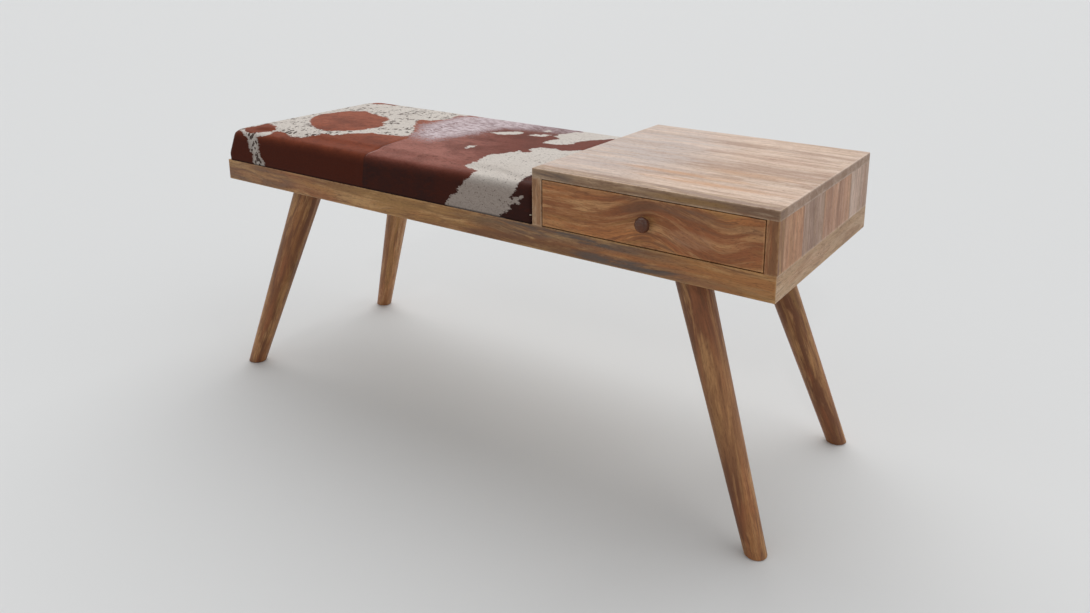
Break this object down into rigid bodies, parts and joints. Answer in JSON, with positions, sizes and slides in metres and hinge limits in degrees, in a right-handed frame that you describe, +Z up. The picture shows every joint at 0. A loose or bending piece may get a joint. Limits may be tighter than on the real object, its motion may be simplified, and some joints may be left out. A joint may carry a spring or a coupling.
{
  "type": "telephone bench",
  "caption": "Low wooden bench with a hide-covered seat pad on the left, a box with a sliding drawer on the right, and splayed tapered legs.",
  "frame": {"origin": "centre of the whole bench's bounding box on the floor, with the knob counted in the depth", "axes": "+X to the right seen from the front, towards the drawer box; +Y from the front to the back; +Z up"},
  "size_m": [1.1608, 0.42, 0.53],
  "materials": {
    "rail_wood": "oiled mango, satin",
    "top_wood": "oiled mango, satin",
    "side_wood": "oiled mango, satin",
    "drawer_wood": "oiled mango, satin",
    "leg_wood": "oiled mango, satin",
    "knob_wood": "dark stained, polished",
    "inner_wood": "planed, unfinished",
    "plywood": "sanded",
    "dowel_wood": "turned beech",
    "hide": "natural hair-on cowhide",
    "foam": "polyurethane foam",
    "steel": "zinc plated"
  },
  "bodies": {
    "bench": {"front_rail": "rail_wood", "back_rail": "rail_wood", "left_end_rail": "rail_wood", "right_end_rail": "rail_wood", "base_board": "plywood", "partition_bearer": "inner_wood", "seat_batten_left": "inner_wood", "seat_batten_middle": "inner_wood", "seat_batten_right": "inner_wood", "corner_braces": "inner_wood", "leg_block_front_left": "inner_wood", "leg_block_front_right": "inner_wood", "leg_block_back_left": "inner_wood", "leg_block_back_right": "inner_wood", "leg_front_left": "leg_wood", "leg_front_right": "leg_wood", "leg_back_left": "leg_wood", "leg_back_right": "leg_wood", "leg_bolts": "steel", "leg_washers": "steel", "leg_nuts": "steel", "base_screws": "steel", "seat_screws": "steel", "seat_board": "plywood", "seat_foam": "foam", "seat_hide": "hide", "left_stile": "side_wood", "right_stile": "side_wood", "partition_panel": "side_wood", "side_stave_1": "side_wood", "side_stave_2": "side_wood", "side_stave_3": "side_wood", "side_stave_4": "side_wood", "box_back": "side_wood", "top_front_edge": "top_wood", "top_plank_1": "top_wood", "top_plank_2": "top_wood", "top_plank_3": "top_wood", "top_plank_4": "top_wood", "top_plank_5": "top_wood", "top_dowels": "dowel_wood", "drawer_runner_left": "inner_wood", "drawer_runner_right": "inner_wood", "drawer_back_stops": "inner_wood", "drawer_out_stop": "inner_wood"},
    "drawer": {"drawer_front": "drawer_wood", "drawer_side_left": "inner_wood", "drawer_side_right": "inner_wood", "drawer_back": "inner_wood", "drawer_bottom": "plywood", "drawer_dowels": "dowel_wood", "drawer_knob": "knob_wood", "knob_screw": "steel"}
  },
  "joints": [
    {"name": "drawer_slide", "type": "slide", "parent": "bench", "child": "drawer", "axis": [0, -1, 0], "range_m": [0, 0.28]}
  ]
}
